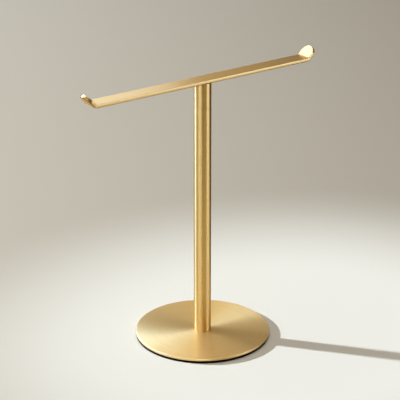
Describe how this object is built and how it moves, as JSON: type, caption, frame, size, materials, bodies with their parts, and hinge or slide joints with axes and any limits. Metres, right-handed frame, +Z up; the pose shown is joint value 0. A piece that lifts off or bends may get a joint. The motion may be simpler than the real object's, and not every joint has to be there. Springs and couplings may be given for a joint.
{
  "type": "freestanding towel stand",
  "caption": "Countertop towel stand: a flat bar with upturned round-tipped ends on a round post, screwed to a thin turned disc with a non-slip pad under it.",
  "frame": {"origin": "middle of the underside of the anti-slip pad, on the surface the stand rests on", "axes": "+Z up along the post, +X along the towel bar, +Y across the bar"},
  "size_m": [0.3014, 0.15, 0.3104],
  "materials": {
    "bar_metal": "satin, brushed along the bar",
    "post_metal": "satin, fine brushed",
    "disc_metal": "satin, brushed in circles",
    "insert_steel": "turned, plain zinc",
    "fastener_steel": "plain zinc",
    "black_rubber": "matt, fine grained"
  },
  "bodies": {
    "root": {"towel_bar": "bar_metal", "bar_stud": "fastener_steel", "top_insert": "insert_steel", "post_tube": "post_metal", "bottom_insert": "insert_steel", "base_disc": "disc_metal", "base_screw": "fastener_steel", "anti_slip_pad": "black_rubber"}
  },
  "joints": []
}
